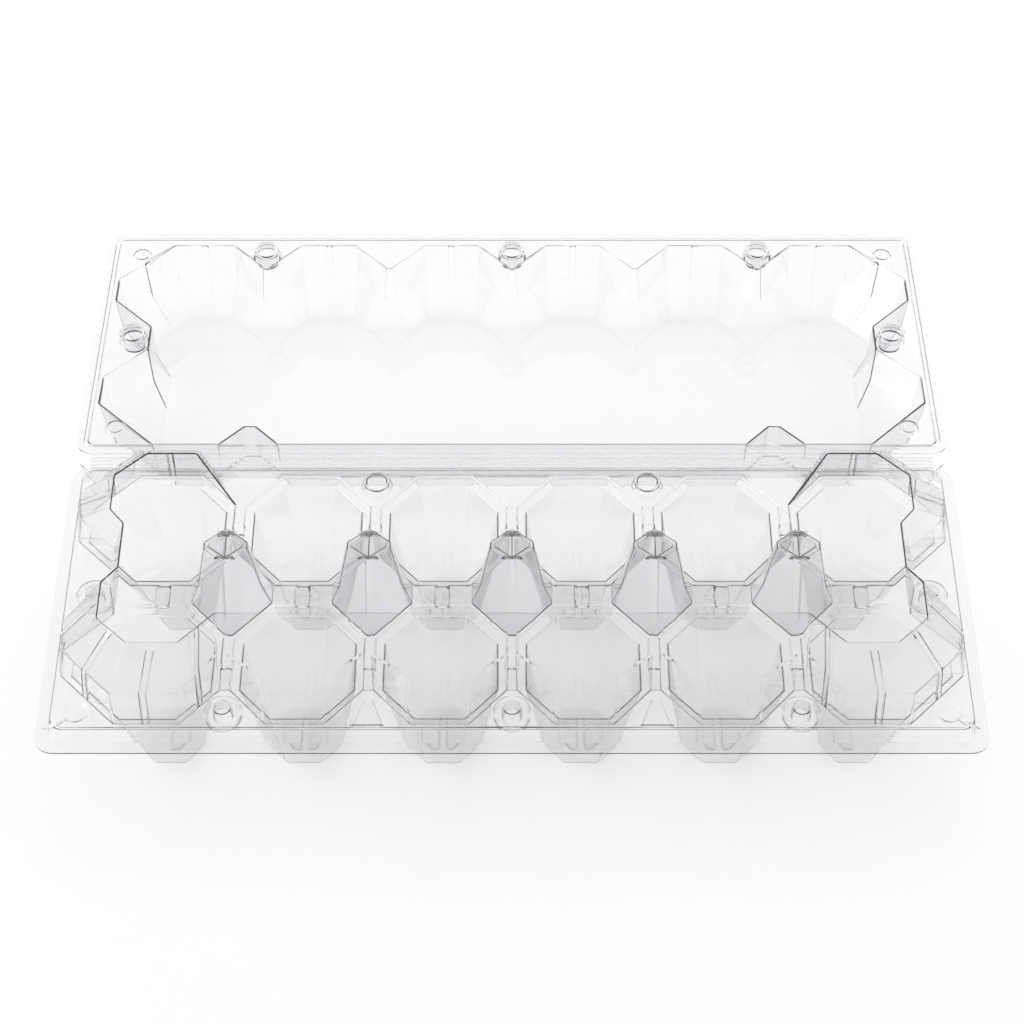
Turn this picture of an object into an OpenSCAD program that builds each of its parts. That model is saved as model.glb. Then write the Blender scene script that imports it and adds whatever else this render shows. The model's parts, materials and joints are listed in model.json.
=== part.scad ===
// Egg keeper with a flip lid, formed from one clear sheet and shown open.
// X runs along the length, the base lies in front (-Y), the lid behind (+Y), and z = 0 is the table.

/* [Overall] */
// Length over the flanges
length = 304; // [280:1:370]
// Depth of the base and of the lid, each over its flanges
depth = 117; // [108:1:142]
// Thickness of the formed sheet
sheet = 0.5; // [0.4:0.05:0.7]
// Height of the deck above the table
deck_h = 42.5; // [36:0.5:51]
// Depth of the lid below its rim
lid_depth = 28.5; // [28:0.5:34]
// Width of the folding band between base and lid
band_w = 6.5; // [6.3:0.1:7.8]

/* [Rim] */
// Width of the flat flange round the base
flange_w = 4.2; // [3:0.1:4.8]
// Rise of the step from the flange to the deck
step_h = 5.5; // [4.5:0.1:5.7]
// Inward slope of that step
step_slope = 1.2; // [0.5:0.1:1.5]
// Corner radius of both flanges
corner_r = 6; // [4:0.5:9]
// Corner radius of the deck
deck_r = 4; // [2:0.5:6]

/* [Cells] */
// Flange edge to the outline of the end cells
end_margin = 7; // [7:0.1:9]
// Flange edge to the outline of a row
row_margin = 7.7; // [7:0.1:9]
// Web of deck between neighbours in a row
web_w = 3; // [2.4:0.1:5]
// Strip of deck between the two rows
spine_w = 7.6; // [6:0.1:10]
// Corner cut of a cell along the length
cut_x = 11.9; // [9:0.1:13]
// Corner cut of a cell across the depth
cut_y = 13; // [10:0.1:15]
// Reach of an end cell past its centre, outward
end_reach = 30; // [27:0.5:31]
// Corner cut of an end cell, outward
end_cut = 18.5; // [16:0.5:19]

/* [Cups] */
// Width of the ledge inside a cell's outline
lip_w = 3.2; // [2:0.1:4]
// Drop from the deck to that ledge
lip_drop = 1.5; // [1:0.1:2.5]
// Width of the cup's floor, side to side
floor_w = 25; // [20:0.5:28]
// Corner cut of the floor
floor_cut = 6.3; // [5:0.1:8]
// Height of the feet under the floor
foot_h = 2; // [1:0.1:3]
// Width of a pair of feet
foot_w = 14.6; // [12:0.1:17]
// Gap between the two feet of a cup
foot_gap = 2; // [1:0.1:3]

/* [Posts] */
// Height of the centre posts above the deck
post_h = 27.2; // [20:0.5:27.4]
// Width of a post's top along the length
post_top_x = 14; // [10:0.5:18]
// Width of a post's top across the depth
post_top_y = 12.7; // [9:0.1:18]
// Depth of the dish in a post's top
post_dish = 1; // [0.6:0.1:2]

/* [Guards] */
// Height of the corner guards above the deck
guard_h = 27; // [18:0.5:27.4]
// Lean of the guards over the front and back facets
lean_row = 12.5; // [8:0.5:14]
// Lean of the guards over the end facets
lean_end = 14.5; // [8:0.5:16]
// Reach of the side guard past the end cell's centre
waist_reach = 15.5; // [13:0.5:17]
// Lean of the front guard back over the front row
lean_front = 23.8; // [18:0.2:25]
// Share of the way up at which the guards start to lean
knee = 0.55; // [0.4:0.05:0.6]
// Share of a guard's lean that lies under its knee
knee_lean = 0.12; // [0.08:0.01:0.14]
// Share of the front guard's lean that lies under its knee
front_knee_lean = 0.33; // [0.2:0.01:0.4]
// Width of the stiffening ribs in the facets
rib_w = 2.6; // [2:0.1:3.4]
// Depth of those ribs
rib_d = 0.5; // [0.3:0.05:0.6]

/* [Snaps] */
// Radius of the male studs on the base
stud_r = 3.1; // [2.5:0.1:3.3]
// Height of a stud above the deck
stud_h = 2.5; // [1.5:0.1:2.8]
// Depth of the round well about a stud
well_depth = 3; // [2.8:0.1:4]
// Height of the snap collars on the lid
collar_h = 2.7; // [2:0.1:2.9]
// Running clearance between a stud, its collar and its well
snap_gap = 0.35; // [0.3:0.05:0.5]
// Flange edge to the snaps of the front row
snap_inset = 12.5; // [11.5:0.1:13]
// Flange edge to the snaps at the ends
end_snap_inset = 14.5; // [13:0.1:15]
// Room for the fold at the top of a collar
collar_room = 1.4; // [1.2:0.1:1.6]
// Flange edge to the corner dimples
dimple_inset = 13; // [12:0.1:14]
// Radius of the corner dimples
dimple_r = 4.2; // [3:0.1:4.4]
// Height of the lugs at the back of the deck
lug_h = 2.8; // [1:0.1:4]

/* [Lid] */
// Clearance of the lid's walls about the guards
lid_clear = 1.2; // [1:0.1:1.4]
// Flange edge to the lid wall beside the band
hinge_margin = 6; // [5:0.1:8]
// Lean of the lid's walls at the cells
lid_lean = 8.3; // [6:0.1:9]
// Extra room at the lid's waist, on the hinge side, for the swing past the guards
swing_ease = 2; // [1.6:0.1:3]
// Depth of the two pillars in the lid's hinge side
pillar_depth = 9; // [6:0.5:11]
// Width of a pillar where it leaves the wall
pillar_w = 22; // [18:0.5:26]
// Width of a pillar's nose
nose_w = 5; // [4:0.5:7]
// Flange edge to the locating bead of the lid
bead_inset = 2.4; // [2:0.1:2.6]
// Width of that bead
bead_w = 2.2; // [1.8:0.1:2.3]
// Height of that bead
bead_h = 1; // [0.6:0.1:1.4]

/* [Hidden] */
seat = 0.05;
row_cells = 6;
corner_steps = 5;
low_end_h = 1.2;
lug_narrower = 0.8;
lug_dish = 1.2;
dimple_h = 1.2;
fold_gap = 0.3;
score_w = 0.4;
saddle_l = 4.7;
saddle_drop = 1.6;
gusset_drop = 1.1;
gusset_back_w = 3.2;
gusset_front_w = 10.8;
gusset_margin = 1.2;
pitch_x = (length - 2 * (end_margin + end_reach)) / (row_cells - 1);
cell_x = pitch_x - web_w;
cell_y = (depth - 2 * row_margin - spine_w) / 2;
end_x = pitch_x * (row_cells - 1) / 2;
row_y = (cell_y + spine_w) / 2;
half_x = cell_x / 2;
half_y = cell_y / 2;
side_x = half_x - cut_x;
side_y = half_y - cut_y;
end_side_y = half_y - end_cut;
end_side_x = end_reach - end_cut;
waist_y = row_y - end_side_y - (end_reach - waist_reach);
deck_inset = flange_w + step_slope + sheet;
snap_y = depth / 2 - snap_inset;
end_snap_x = length / 2 - end_snap_inset;
dimple_x = length / 2 - dimple_inset;
well_r = stud_r + sheet + 2 * snap_gap + collar_room + sheet;
collar_out_r = well_r - sheet - snap_gap;
collar_in_r = stud_r + snap_gap;

// Small skews of the guards' and the lid's corners, by which their facets stay nearly flat
skew_x = 1.1;
skew_y = 3.3;
skew_waist = 1.2;
lean_corner = 6;
lean_waist_x = 4.8;
lean_waist_y = 7.5;
panel_tip_x = 6.5;
panel_tip_y = 2.3;
panel_side = 1.1;
panel_end_side = 2.1;
panel_corner_x = 4;
panel_end_x = 11;
panel_end_y = 1.8;
panel_notch_x = 8;
panel_waist_x = 3;
panel_waist_y = 1.7;
panel_hinge_x = 5.8;
panel_hinge_y = 6;
pillar_foot_x = 1.5;
pillar_nose_x = 3.5;
pillar_nose_y = 5;

// The two fold lines, at mid sheet, and the droop that lets the open lid rest on the table
fold_z = deck_h - step_h - sheet / 2;
lid_reach = depth / 2 + row_y + half_y - lid_lean;
lid_drop = lid_depth - sheet / 2;
droop = atan2(lid_reach, lid_drop) - acos(fold_z / norm([lid_reach, lid_drop]));
fold_y = (depth - band_w - depth * cos(droop) - sheet / 2 * sin(droop)) / 2;

// Loops and skins
function left_of(p, q) = let (e = (q - p) / norm(q - p)) [-e.y, e.x];
function mitre(before, p, after, d) =
    let (a = left_of(before, p), b = left_of(p, after)) p + (a + b) * d / (1 + a * b);
// A closed loop, drawn in by d
function inset(loop, d) = let (n = len(loop))
    [for (i = [0:n - 1]) mitre(loop[(i + n - 1) % n], loop[i], loop[(i + 1) % n], d)];
// An open path, moved to its left by d
function shifted(path, d) = let (n = len(path)) [for (i = [0:n - 1])
    i == 0 ? path[0] + left_of(path[0], path[1]) * d
    : i == n - 1 ? path[i] + left_of(path[i - 1], path[i]) * d
    : mitre(path[i - 1], path[i], path[i + 1], d)];
function at(loop, z) = [for (p = loop) [p.x, p.y, z]];
function between(p, q, a) = p + (q - p) * a;
function mixed(a, b, t) = [for (i = [0:len(a) - 1]) between(a[i], b[i], t)];
// Four points of a rib across the middle of the stretch from p to q, raised outward by d
function rib(p, q, d) = let (m = (p + q) / 2, e = (q - p) / norm(q - p), out = -left_of(p, q) * d)
    let (half = e * rib_w / 2, top = e * rib_w / 4) [m - half, m - top + out, m + top + out, m + half];
// A run of a row from first to last, with ribs on the stretches that are listed
function ribbed(row, first, last, listed, d) = let (n = len(row)) [for (i = [first:last]) each [
    row[i % n], if (i < last && len(search(i, listed)) > 0) each rib(row[i % n], row[(i + 1) % n], d)]];
function quad(a, b, c, d) = [[a, b, c], [a, c, d]];

// A rectangle with round corners, counter-clockwise
function round_rect(w, d, r) = [for (q = [0:3], k = [0:corner_steps])
    let (a = 90 * q + 90 * k / corner_steps, sx = (q == 0 || q == 3) ? 1 : -1, sy = q < 2 ? 1 : -1)
    [sx * (w / 2 - r) + r * cos(a), sy * (d / 2 - r) + r * sin(a)]];

// An eight-sided loop: its box, and the corner cuts at its left and at its right
function octagon(x0, x1, y0, y1, left, right) = [
    [x0 + left.x, y0], [x1 - right.x, y0], [x1, y0 + right.y], [x1, y1 - right.y],
    [x1 - right.x, y1], [x0 + left.x, y1], [x0, y1 - left.y], [x0, y0 + left.y]];

// A solid between rings, from an upward cap to a downward cap, or round again where it is closed
module loft(rings, closed = false) {
    n = len(rings[0]);
    m = len(rings);
    polyhedron(points = [for (ring = rings) each ring], faces = concat(
        closed ? [] : [[for (i = [n - 1:-1:0]) i], [for (i = [0:n - 1]) (m - 1) * n + i]],
        [for (k = [0:closed ? m - 1 : m - 2], i = [0:n - 1])
            let (a = k * n, b = ((k + 1) % m) * n, j = (i + 1) % n)
            each quad(a + i, a + j, b + j, b + i)]));
}

// A wall of sheet between outer and inner rows of points, rows given from the top down
module wall(outer, inner) {
    n = len(outer[0]);
    m = len(outer);
    function o(level, i) = level * n + i;
    function v(level, i) = (m + level) * n + i;
    polyhedron(points = concat([for (row = outer) each row], [for (row = inner) each row]), faces = concat(
        [for (k = [0:m - 2], i = [0:n - 2]) each quad(o(k, i), o(k, i + 1), o(k + 1, i + 1), o(k + 1, i))],
        [for (k = [0:m - 2], i = [0:n - 2]) each quad(v(k, i), v(k + 1, i), v(k + 1, i + 1), v(k, i + 1))],
        [for (i = [0:n - 2]) each quad(o(m - 1, i), o(m - 1, i + 1), v(m - 1, i + 1), v(m - 1, i))],
        [for (i = [0:n - 2]) each quad(v(0, i), v(0, i + 1), o(0, i + 1), o(0, i))],
        [for (k = [0:m - 2]) each [[o(k, 0), o(k + 1, 0), v(k + 1, 0)], [o(k, 0), v(k + 1, 0), v(k, 0)]]],
        [for (k = [0:m - 2]) each [[o(k, n - 1), v(k + 1, n - 1), o(k + 1, n - 1)],
                                   [o(k, n - 1), v(k, n - 1), v(k + 1, n - 1)]]]));
}

// Layout
function cell_centre(i) = (i - (row_cells - 1) / 2) * pitch_x;
function web_x(i) = cell_centre(i) + pitch_x / 2;
function cell_loop(i, row) = let (
    c = cell_centre(i), first = i == 0, last = i == row_cells - 1, out = [end_cut, end_cut])
    octagon(c - (first ? end_reach : half_x), c + (last ? end_reach : half_x),
            row * row_y - half_y, row * row_y + half_y,
            first ? out : [cut_x, cut_y], last ? out : [cut_x, cut_y]);
function floor_loop(i, row) = let (c = cell_centre(i), h = floor_w / 2, cut = [floor_cut, floor_cut])
    octagon(c - h, c + h, row * row_y - h, row * row_y + h, cut, cut);
function post_loop(i) = let (c = web_x(i), h = pitch_x / 2 - side_x)
    octagon(c - h, c + h, -(row_y - side_y), row_y - side_y,
            [h - web_w / 2, row_y - side_y - spine_w / 2], [h - web_w / 2, row_y - side_y - spine_w / 2]);
function post_top_loop(i) = let (c = web_x(i), cut = [post_top_x / 2 - 1.2, post_top_y / 2 - 1])
    octagon(c - post_top_x / 2, c + post_top_x / 2, -post_top_y / 2, post_top_y / 2, cut, cut);
snap_places = [[web_x(0), -snap_y], [0, -snap_y], [web_x(4), -snap_y], [-end_snap_x, 0], [end_snap_x, 0]];
lug_places = [[web_x(1), snap_y], [web_x(3), snap_y]];
dimple_places = [for (x = [-1, 1], y = [-1, 1]) [x * dimple_x, y * snap_y]];

// Places a piece of the base, which is drawn about the base's own centre
module in_base() { translate([0, fold_y - depth / 2, 0]) children(); }
// Places a piece of the lid, which is drawn flat about the lid's own centre with z = 0 at mid sheet
module in_lid() {
    translate([0, fold_y + band_w, fold_z]) rotate([-droop, 0, 0]) translate([0, depth / 2, 0]) children();
}
module clear_sheet() { color([0.9, 0.92, 0.95, 0.45]) children(); }

// Base
module base_rim() {
    foot = deck_h - step_h;
    function rim(d, r, z) = at(round_rect(length - 2 * d, depth - 2 * d, r), z);
    clear_sheet() in_base() loft([
        rim(deck_inset - sheet, deck_r + sheet, deck_h),
        rim(flange_w, corner_r - 1, foot),
        rim(0, corner_r, foot),
        rim(0, corner_r, foot - sheet),
        rim(flange_w + sheet, corner_r - 1, foot - sheet),
        rim(deck_inset, deck_r, deck_h - 2 * sheet),
        rim(deck_inset, deck_r, deck_h)], closed = true);
}

// A pocket that widens from between two front cells to the deck's front edge, drawn in by d
function gusset(d) = let (
    back = -(row_y + side_y + web_w), front = -(depth / 2 - deck_inset - gusset_margin),
    b = gusset_back_w / 2, f = gusset_front_w / 2) inset([[-b, back], [-f, front], [f, front], [b, back]], d);
module base_deck() {
    clear_sheet() in_base() translate([0, 0, deck_h - sheet]) linear_extrude(sheet) difference() {
        polygon(round_rect(length - 2 * deck_inset, depth - 2 * deck_inset, deck_r));
        for (row = [-1, 1], i = [0:row_cells - 1]) polygon(cell_loop(i, row));
        for (i = [0:row_cells - 2]) polygon(post_loop(i));
        for (row = [-1, 1], i = [0:row_cells - 2])
            translate([web_x(i), row * row_y]) square([web_w + 2, saddle_l], center = true);
        for (i = [0:row_cells - 1])
            translate([cell_centre(i), 0]) square([saddle_l, spine_w + 2], center = true);
        for (p = snap_places) translate(p) circle(r = well_r + seat, $fn = 48);
        for (p = lug_places) translate(p) circle(r = well_r - lug_narrower + seat, $fn = 48);
        for (p = dimple_places) translate(p) circle(r = dimple_r + seat, $fn = 48);
        for (x = [web_x(1), web_x(3)]) translate([x, 0]) polygon(gusset(sheet));
    }
    clear_sheet() in_base() for (x = [web_x(1), web_x(3)]) translate([x, 0, deck_h]) {
        translate([0, 0, -gusset_drop - sheet]) linear_extrude(gusset_drop + sheet) difference() {
            polygon(gusset(0));
            polygon(gusset(sheet));
        }
        translate([0, 0, -gusset_drop - sheet]) linear_extrude(sheet) polygon(gusset(sheet));
    }
}

// A channel across a strip of deck, drawn along x and as wide as the strip
module saddle(width) {
    rotate([90, 0, 0]) translate([0, 0, -width / 2]) linear_extrude(width) polygon([
        [-saddle_l / 2, 0], [-saddle_l / 2 + sheet, 0], [-saddle_l / 2 + 2 * sheet, sheet - saddle_drop],
        [saddle_l / 2 - 2 * sheet, sheet - saddle_drop], [saddle_l / 2 - sheet, 0], [saddle_l / 2, 0],
        [saddle_l / 2, -sheet], [saddle_l / 2 - sheet, -saddle_drop], [-saddle_l / 2 + sheet, -saddle_drop],
        [-saddle_l / 2, -sheet]]);
}
module web_saddles() {
    clear_sheet() in_base() for (row = [-1, 1], i = [0:row_cells - 2])
        translate([web_x(i), row * row_y, deck_h]) rotate([0, 0, 90]) saddle(web_w);
}
module spine_saddles() {
    clear_sheet() in_base() for (i = [0:row_cells - 1])
        translate([cell_centre(i), 0, deck_h]) saddle(spine_w);
}

// A cup: an eight-sided well with a ledge under its outline, and two feet
module cup(i, row) {
    top = cell_loop(i, row);
    base = floor_loop(i, row);
    ledge = deck_h - lip_drop;
    floor_z = foot_h + sheet;
    clear_sheet() in_base() {
        loft([
            at(inset(base, sheet), floor_z),
            at(inset(top, lip_w), ledge - 0.3),
            at(inset(top, sheet + 0.3), ledge),
            at(inset(top, sheet), deck_h),
            at(top, deck_h),
            at(inset(top, 0.3), ledge - sheet),
            at(inset(top, lip_w - sheet), ledge - 0.3 - sheet),
            at(base, foot_h)]);
        for (side = [-1, 1]) translate([cell_centre(i), row * row_y, 0]) mirror([side < 0 ? 1 : 0, 0, 0])
            linear_extrude(foot_h + sheet / 2) polygon([
                [foot_gap / 2, -foot_w / 2], [foot_w / 4, -foot_w / 2], [foot_w / 2, -foot_w / 4],
                [foot_w / 2, foot_w / 4], [foot_w / 4, foot_w / 2], [foot_gap / 2, foot_w / 2]]);
    }
}

// A hollow post between four cells, with a dished top
module post(i) {
    base = post_loop(i);
    top = post_top_loop(i);
    waist = mixed(base, top, 0.45);
    top_z = deck_h + post_h;
    clear_sheet() in_base() loft([
        at(inset(top, 1.6), top_z - post_dish),
        at(inset(top, 1.2), top_z),
        at(top, top_z),
        at(waist, deck_h + post_h * 0.3),
        at(base, deck_h),
        at(base, deck_h - sheet),
        at(inset(base, sheet), deck_h - sheet),
        at(inset(waist, sheet), deck_h + post_h * 0.3 - sheet),
        at(inset(top, sheet), top_z - post_dish - sheet)]);
}

// The crown of guards is one run of stations. Each is a foot on the deck, a lean, a height,
// and the share of its lean that lies under the knee
rib_levels = [1, 0.93, knee, 0.07, 0];
function end_stations(front) = let (s = front ? -1 : 1, k = knee_lean) [
    [[-end_x + half_x, s * (row_y + side_y)], [0, front ? lean_front - cut_y : -1],
        front ? guard_h : low_end_h, front_knee_lean],
    [[-end_x + side_x, s * (row_y + half_y)], [skew_x, -s * lean_row], guard_h, k],
    [[-end_x - end_side_x, s * (row_y + half_y)], [lean_corner, -s * lean_row], guard_h, k],
    [[-end_x - end_reach, s * (row_y + end_side_y)], [lean_end, -s * skew_y], guard_h, k],
    [[-end_x - end_reach, s * (row_y - end_side_y)], [lean_end, -s * lean_waist_y], guard_h, k],
    [[-end_x - waist_reach, s * waist_y], [lean_waist_x, s * skew_waist], guard_h, k]];
function reversed(list) = [for (i = [len(list) - 1:-1:0]) list[i]];
function mirrored(stations) = [for (s = stations) [[-s[0].x, s[0].y], [-s[1].x, s[1].y], s[2], s[3]]];
function front_station(x, y, lean) = [[x, y], [0, lean], guard_h, front_knee_lean];
front_tip = -(row_y + side_y);
front_stations = concat(
    [front_station(web_x(0) + web_w / 2, front_tip, lean_front - cut_y)],
    [for (i = [1:row_cells - 2]) each [
        if (i > 1) front_station(cell_centre(i) - half_x, front_tip, lean_front - cut_y),
        front_station(cell_centre(i) - side_x, -(row_y + half_y), lean_front),
        front_station(cell_centre(i) + side_x, -(row_y + half_y), lean_front),
        front_station(cell_centre(i) + half_x, front_tip, lean_front - cut_y)]]);
left_stations = concat(end_stations(false), reversed(end_stations(true)));
crown = concat(left_stations, front_stations, reversed(mirrored(left_stations)));
last_left = len(left_stations) - 1;
first_right = last_left + len(front_stations) + 1;
left_ribs = [1, 2, 3, 7, 8, 9, 10];
crown_ribs = concat(left_ribs, [for (i = left_ribs) len(crown) - 2 - i]);
function leaned(level, share) = level < knee ? share * level / knee
    : share + (1 - share) * (level - knee) / (1 - knee);
function crown_row(level) = [for (s = crown) s[0] + s[1] * leaned(level, s[3])];
module guard(first, last) {
    function row(level, d) = ribbed(
        shifted(crown_row(level), d), first, last, crown_ribs, level == 0 || level == 1 ? 0 : rib_d);
    function heights(level) = [for (i = [first:last]) each
        [deck_h + level * crown[i][2], if (i < last && len(search(i, crown_ribs)) > 0) each
            [for (k = [0:3]) deck_h + level * (crown[i][2] + crown[i + 1][2]) / 2]]];
    function raised(points, z) = [for (i = [0:len(points) - 1]) [points[i].x, points[i].y, z[i]]];
    clear_sheet() in_base() wall(
        [for (level = rib_levels) raised(row(level, -sheet), heights(level))],
        [for (level = rib_levels) raised(row(level, 0), heights(level))]);
}

// A stud in its well, as one revolved skin about the deck's top
module snap_stud() {
    rotate_extrude($fn = 48) polygon([
        [well_r, 0], [well_r - sheet, 0], [well_r - sheet, -well_depth], [stud_r, -well_depth],
        [stud_r, stud_h - 0.6], [stud_r - 0.6, stud_h], [0, stud_h], [0, stud_h - sheet],
        [stud_r - 0.8, stud_h - sheet], [stud_r - sheet, stud_h - 0.8], [stud_r - sheet, -well_depth - sheet],
        [well_r, -well_depth - sheet]]);
}
module snap_studs() {
    clear_sheet() in_base() for (p = snap_places) translate([p.x, p.y, deck_h]) snap_stud();
}
module rear_lugs() {
    r = well_r - lug_narrower;
    dish = lug_h - lug_dish;
    clear_sheet() in_base() for (p = lug_places) translate([p.x, p.y, deck_h])
        rotate_extrude($fn = 48) polygon([
            [r, -sheet], [r, 0], [r - 0.8, lug_h], [r - 1.8, lug_h], [r - 2.2, dish], [0, dish],
            [0, dish - sheet], [r - 1.8, dish - sheet], [r - sheet, -sheet]]);
}
module dimple(up) {
    s = up ? 1 : -1;
    rotate_extrude($fn = 48) polygon([
        [dimple_r, 0], [dimple_r, -sheet], [dimple_r - 1.1, s * dimple_h - sheet], [0, s * dimple_h - sheet],
        [0, s * dimple_h], [dimple_r - 1.1, s * dimple_h], [dimple_r - sheet, 0]]);
}
module base_dimples() {
    clear_sheet() in_base() for (p = dimple_places) translate([p.x, p.y, deck_h]) dimple(false);
}

// Folding band, with three score lines
module hinge_band() {
    band_l = length - 2 * corner_r;
    clear_sheet() translate([0, fold_y + band_w / 2, fold_z]) difference() {
        cube([band_l, band_w - 2 * fold_gap, sheet], center = true);
        for (k = [-1:1]) translate([0, k * band_w / 4, sheet / 2])
            cube([band_l + 1, score_w, sheet / 2], center = true);
    }
}

// Lid: the outline of its cavity, and how far each point leans in at the panel
hinge_line = depth / 2 - hinge_margin;
function far_points(i) = let (c = cell_centre(i), y = row_y + half_y, tip = row_y + side_y,
    first = i == 0, last = i == row_cells - 1) [
    if (!last) [[c + half_x, tip], [-panel_tip_x, -panel_tip_y]],
    last ? [[c + end_side_x, y], [-panel_corner_x, -lid_lean]]
        : [[c + side_x, y], [first ? -panel_end_side : -panel_side, -lid_lean]],
    first ? [[c - end_side_x, y], [panel_corner_x, -lid_lean]]
        : [[c - side_x, y], [last ? panel_end_side : panel_side, -lid_lean]],
    if (!first) [[c - half_x, tip], [panel_tip_x, -panel_tip_y]]];
left_points = [
    [[-end_x - end_reach, row_y + end_side_y], [panel_end_x, -panel_end_y]],
    [[-end_x - end_reach, row_y - end_side_y], [panel_notch_x, -panel_tip_y]],
    [[-end_x - waist_reach, waist_y], [panel_waist_x, panel_waist_y]],
    [[-end_x - waist_reach, -waist_y + swing_ease], [panel_waist_x, -panel_waist_y]],
    [[-end_x - end_reach, -row_y + end_side_y + swing_ease], [panel_notch_x, panel_tip_y]],
    [[-end_x - end_reach, -row_y - end_side_y], [panel_end_x, panel_end_y]],
    [[-end_x - end_reach + hinge_line - row_y - end_side_y, -hinge_line], [panel_hinge_x, panel_hinge_y]]];
function pillar_points(x) = let (nose = -hinge_line + pillar_depth) [
    [[x - pillar_w / 2, -hinge_line], [-pillar_foot_x, panel_hinge_y]],
    [[x - nose_w / 2, nose], [-pillar_nose_x, pillar_nose_y]],
    [[x + nose_w / 2, nose], [pillar_nose_x, pillar_nose_y]],
    [[x + pillar_w / 2, -hinge_line], [pillar_foot_x, panel_hinge_y]]];
function flipped(points) = [for (p = reversed(points)) [[-p[0].x, p[0].y], [-p[1].x, p[1].y]]];
lid_points = concat(
    [for (i = [row_cells - 1:-1:0]) each far_points(i)],
    left_points, pillar_points(web_x(0)), pillar_points(web_x(4)), flipped(left_points));
far_last = 4 * row_cells - 3;
left_last = far_last + len(left_points);
hinge_last = left_last + 9;
lid_ribs = concat([for (i = [0:row_cells - 1]) 4 * i], [far_last, len(lid_points) - 1]);
lid_deck_loop = inset([for (p = lid_points) p[0]], -lid_clear);
lid_panel_loop = [for (p = lid_points) p[0] + p[1]];
lid_knee_h = 0.56;
lid_knee_lean = 0.16;
lid_levels = [
    [0, 0, 0], [0.06, 0.02, 1], [lid_knee_h, lid_knee_lean, 1], [0.93, 0.86, 1], [1, 1, 0], [1, 1, 0]];

// Levels are shares of the depth and of the lean, and whether the ribs stand out there
module lid_wall(first, last) {
    function run(k, d) = ribbed(inset(mixed(lid_deck_loop, lid_panel_loop, lid_levels[k][1]), d),
        first, last, lid_ribs, rib_d * lid_levels[k][2]);
    function height(k) = k == 0 ? -sheet / 2 : k == 4 ? sheet - lid_drop : -lid_drop * lid_levels[k][0];
    clear_sheet() in_lid() wall(
        [for (k = [0:5]) at(run(k, -sheet), height(k))], [for (k = [0:5]) at(run(k, 0), height(k))]);
}
module lid_rim() {
    function edge(d) = round_rect(length - 2 * d, depth - 2 * d, corner_r - d);
    clear_sheet() in_lid() {
        translate([0, 0, -sheet / 2]) linear_extrude(sheet) difference() {
            polygon(edge(0));
            polygon(edge(bead_inset + sheet));
        }
        translate([0, 0, -sheet / 2]) linear_extrude(sheet) difference() {
            polygon(edge(bead_inset + bead_w - sheet));
            polygon(lid_deck_loop);
            for (p = snap_places) translate([p.x, -p.y]) circle(r = collar_out_r + seat, $fn = 48);
            for (p = dimple_places) translate(p) circle(r = dimple_r + seat, $fn = 48);
        }
        translate([0, 0, -sheet / 2]) linear_extrude(bead_h) difference() {
            polygon(edge(bead_inset));
            polygon(edge(bead_inset + sheet));
        }
        translate([0, 0, -sheet / 2]) linear_extrude(bead_h) difference() {
            polygon(edge(bead_inset + bead_w - sheet));
            polygon(edge(bead_inset + bead_w));
        }
        translate([0, 0, bead_h - sheet / 2]) linear_extrude(sheet) difference() {
            polygon(edge(bead_inset));
            polygon(edge(bead_inset + bead_w));
        }
    }
}
module lid_panel() {
    clear_sheet() in_lid() translate([0, 0, -lid_drop]) linear_extrude(sheet) polygon(lid_panel_loop);
}
// A collar that stands up from the open lid, with a blind well inside it
module snap_collar() {
    well = -stud_h - snap_gap;
    rotate_extrude($fn = 48) polygon([
        [collar_out_r, -sheet], [collar_out_r, collar_h], [collar_in_r, collar_h], [collar_in_r, well],
        [0, well], [0, well - sheet], [collar_in_r + sheet, well - sheet],
        [collar_in_r + sheet, collar_h - sheet], [collar_out_r - sheet, collar_h - sheet],
        [collar_out_r - sheet, -sheet]]);
}
module snap_collars() {
    clear_sheet() in_lid() for (p = snap_places) translate([p.x, -p.y, sheet / 2]) snap_collar();
}
module lid_dimples() {
    clear_sheet() in_lid() for (p = dimple_places) translate([p.x, p.y, sheet / 2]) scale(0.9) dimple(true);
}

base_rim();
base_deck();
web_saddles();
spine_saddles();
for (i = [1:row_cells]) cup(i - 1, -1);
for (i = [1:row_cells]) cup(i - 1, 1);
for (i = [1:row_cells - 1]) post(i - 1);
guard(0, 5);  // corner_guard_rear_left
guard(5, 6);  // side_guard_left
guard(6, last_left);  // corner_guard_front_left
guard(last_left, first_right);  // front_guard
guard(first_right, first_right + 5);  // corner_guard_front_right
guard(first_right + 5, first_right + 6);  // side_guard_right
guard(first_right + 6, first_right + 11);  // corner_guard_rear_right
snap_studs();
rear_lugs();
base_dimples();
hinge_band();
lid_rim();
lid_wall(0, far_last);  // lid_wall_far
lid_wall(far_last, left_last);  // lid_wall_left
lid_wall(left_last, hinge_last);  // lid_wall_hinge
lid_wall(hinge_last, len(lid_points));  // lid_wall_right
lid_panel();
snap_collars();
lid_dimples();
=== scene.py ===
# %% [markdown]
# The keeper is one clear sheet of PET, drawn by vacuum into a base with twelve cups
# and a lid, joined by a folding band. The measured model of it is loaded first.
# Everything made below is placed from that frame, in metres, with +Z up.

# %% Load the measured frame
import json
from math import cos, radians, sin

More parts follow.
